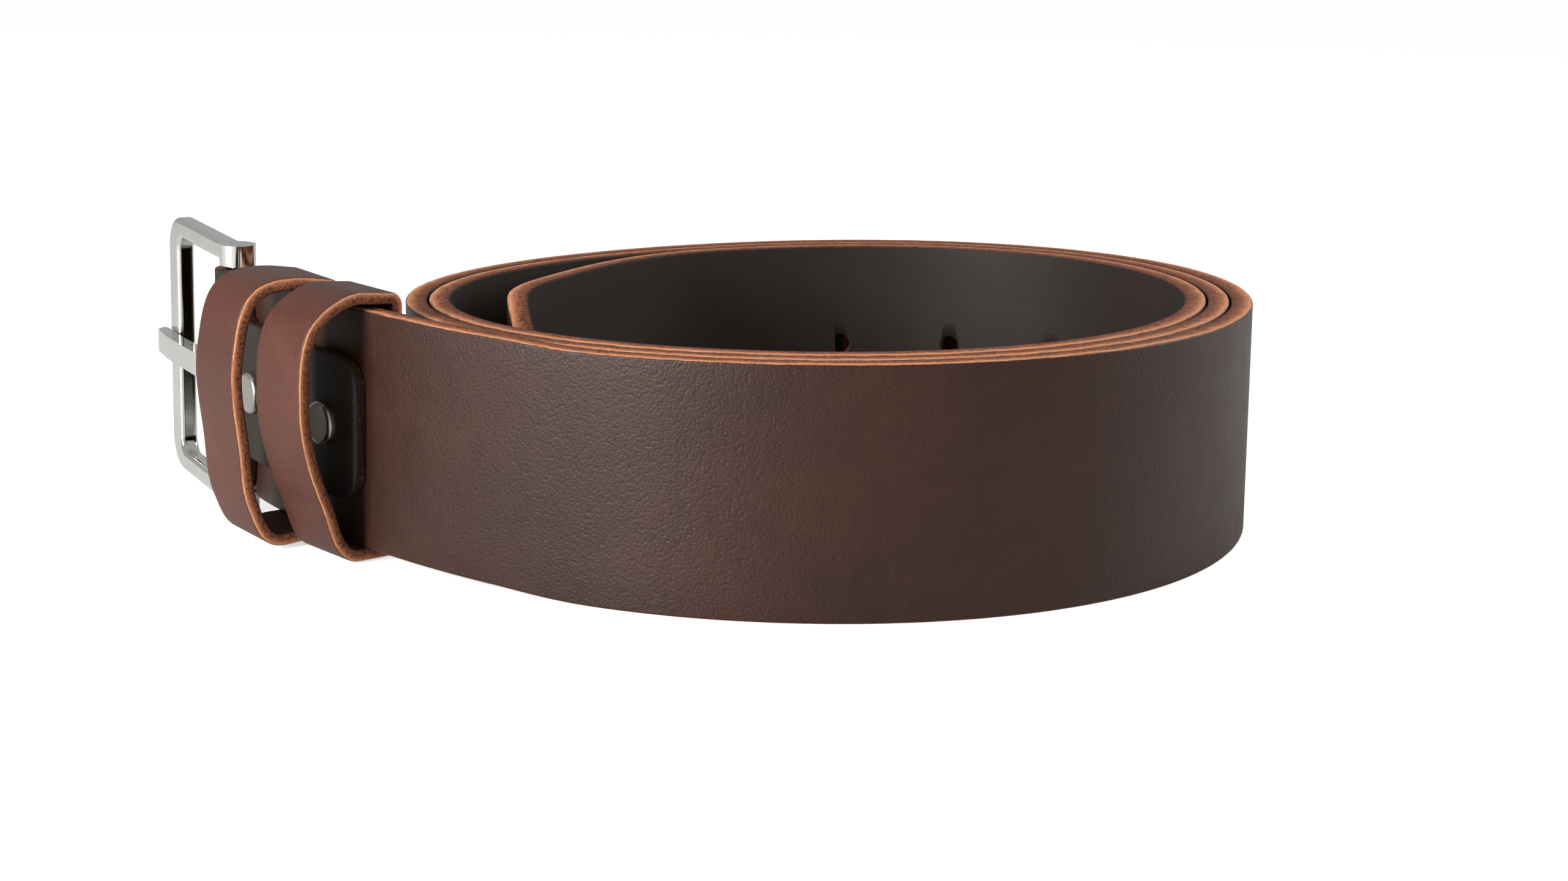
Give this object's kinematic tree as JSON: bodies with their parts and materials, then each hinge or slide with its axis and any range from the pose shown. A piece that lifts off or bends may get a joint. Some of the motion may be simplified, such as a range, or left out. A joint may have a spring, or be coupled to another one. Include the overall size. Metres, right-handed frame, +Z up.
{
  "type": "leather belt",
  "caption": "Leather belt rolled up on edge, with its buckle end, prong buckle and keeper loops hanging off the roll.",
  "frame": {"origin": "centre of the whole rolled belt's bounding box, on the surface it stands on", "axes": "+Z up along the strap's width; +X along the longer way across the roll, away from the buckle; +Y towards the back"},
  "size_m": [0.1916, 0.1408, 0.0474],
  "materials": {
    "strap_leather": "dark brown pebbled grain, raw tan edges",
    "keeper_leather": "reddish brown, waxed",
    "polished_metal": "polished nickel plate",
    "steel_wire": "plain drawn wire",
    "screw_metal": "nickel plate, slightly dulled"
  },
  "bodies": {
    "strap": {"strap": "strap_leather", "fixed_keeper": "keeper_leather", "fixed_keeper_staple": "steel_wire", "screw_posts": "screw_metal", "post_screws": "screw_metal"},
    "buckle": {"buckle_frame": "polished_metal", "heel_bar": "polished_metal"},
    "prong": {"prong": "polished_metal"},
    "sliding_keeper": {"sliding_keeper": "keeper_leather", "sliding_keeper_staple": "steel_wire"}
  },
  "joints": [
    {"name": "buckle_swing", "type": "hinge", "parent": "strap", "child": "buckle", "pos_m": [-0.07468, -0.00256, 0.02315], "axis": [0.0332, -0.0309, 0.999], "range_deg": [-45, 30]},
    {"name": "prong_swing", "type": "hinge", "parent": "buckle", "child": "prong", "pos_m": [-0.07468, -0.00256, 0.02315], "axis": [0.0332, -0.0309, 0.999], "range_deg": [0, 75]},
    {"name": "keeper_slide", "type": "hinge", "parent": "strap", "child": "sliding_keeper", "pos_m": [0.05329, 0.06995, 0.02115], "axis": [0.0332, -0.0309, 0.999], "range_deg": [-0.8, 5.5]}
  ]
}
